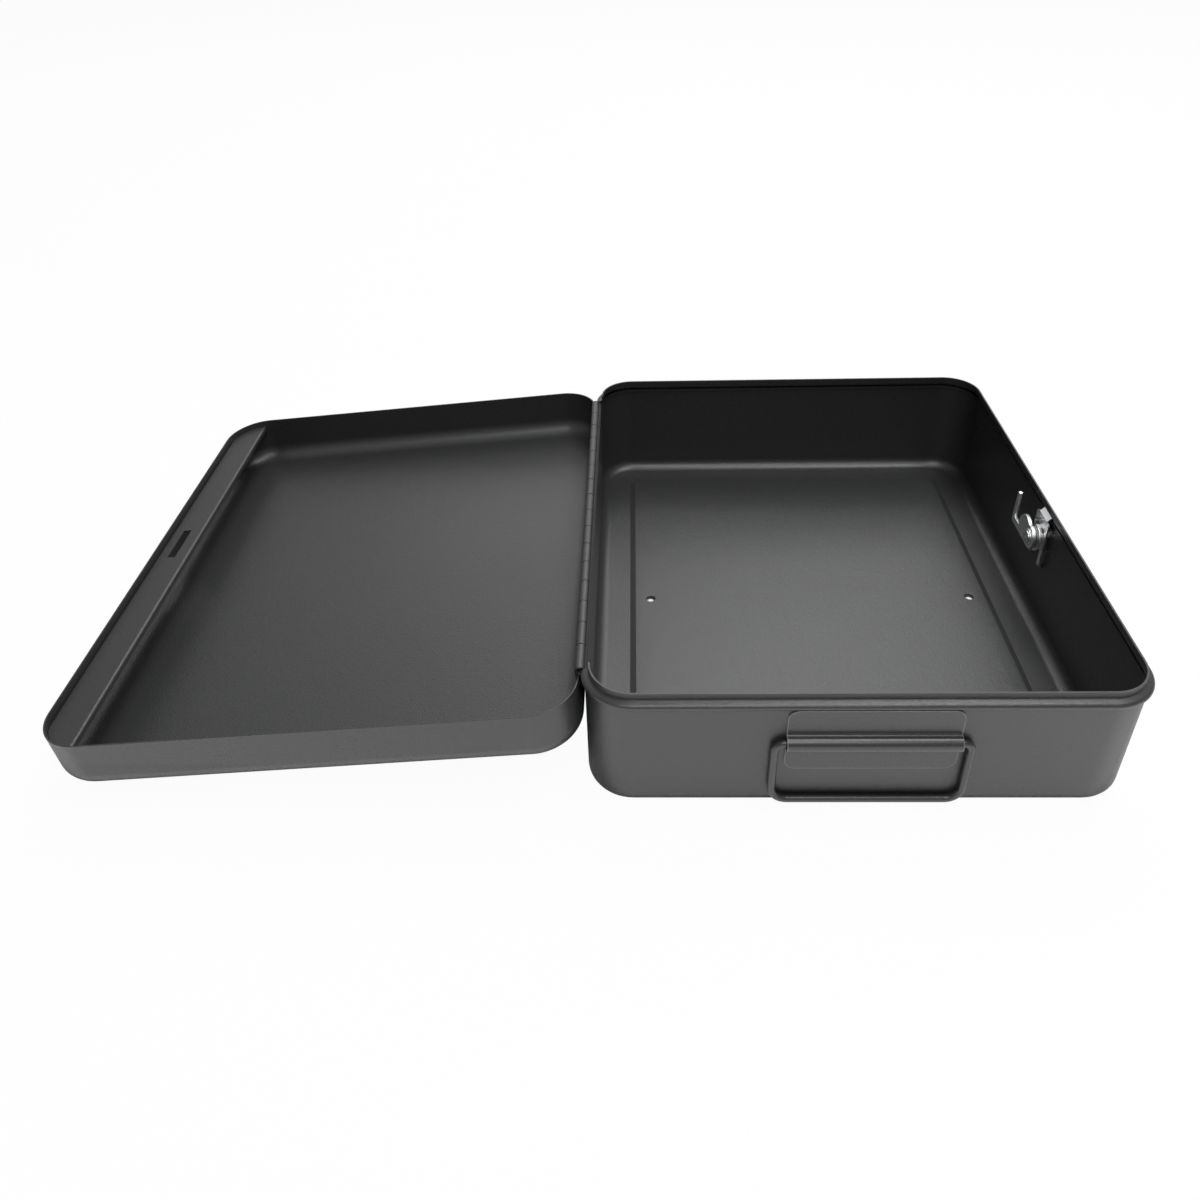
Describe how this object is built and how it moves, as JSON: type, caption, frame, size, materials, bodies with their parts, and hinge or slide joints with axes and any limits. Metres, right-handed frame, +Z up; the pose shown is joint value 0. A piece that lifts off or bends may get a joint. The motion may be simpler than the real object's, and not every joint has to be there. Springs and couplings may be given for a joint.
{
  "type": "safe deposit box",
  "caption": "Shallow sheet-steel security box with a rounded drawn base, a tray lid on a long piano hinge, a cam lock with a hook, and a wire bail handle.",
  "frame": {"origin": "centre of the base's underside, halfway between the two fixing holes", "axes": "+X from the hinge side to the lock side, +Y along the hinge away from the handle, +Z up; the lid lies open at negative X"},
  "size_m": [0.5494, 0.3335, 0.075],
  "materials": {
    "powder_coat": "satin charcoal powder coat",
    "zinc_plate": "bright zinc plate",
    "lock_body": "polished nickel plate",
    "pin_steel": "drawn wire",
    "spring_steel": "oiled",
    "wafer_brass": "stamped"
  },
  "bodies": {
    "base": {"base_shell": "powder_coat", "hinge_leaf_base": "powder_coat", "hinge_pin": "pin_steel", "handle_plate": "powder_coat", "lock_housing": "lock_body", "lock_clip": "zinc_plate"},
    "lid": {"lid_shell": "powder_coat", "hinge_leaf_lid": "powder_coat", "lock_strip": "powder_coat"},
    "bail": {"bail_handle": "powder_coat"},
    "cam": {"lock_plug": "lock_body", "stop_washer": "zinc_plate", "spring_washer": "spring_steel", "cam_hook": "zinc_plate", "cam_washer": "zinc_plate", "wafer_1": "wafer_brass", "wafer_2": "wafer_brass", "wafer_3": "wafer_brass", "wafer_4": "wafer_brass", "wafer_spring_1": "spring_steel", "wafer_spring_2": "spring_steel", "wafer_spring_3": "spring_steel", "wafer_spring_4": "spring_steel"}
  },
  "joints": [
    {"name": "lid_hinge", "type": "hinge", "parent": "base", "child": "lid", "pos_m": [-0.1375, 0, 0.0688], "axis": [0, 1, 0], "range_deg": [0, 185]},
    {"name": "bail_swing", "type": "hinge", "parent": "base", "child": "bail", "pos_m": [0.003, -0.1648, 0.0465], "axis": [-1, 0, 0], "range_deg": [0, 170]},
    {"name": "cam_turn", "type": "hinge", "parent": "base", "child": "cam", "pos_m": [0.127, -0.0045, 0.0515], "axis": [1, 0, 0], "range_deg": [0, 90]}
  ]
}
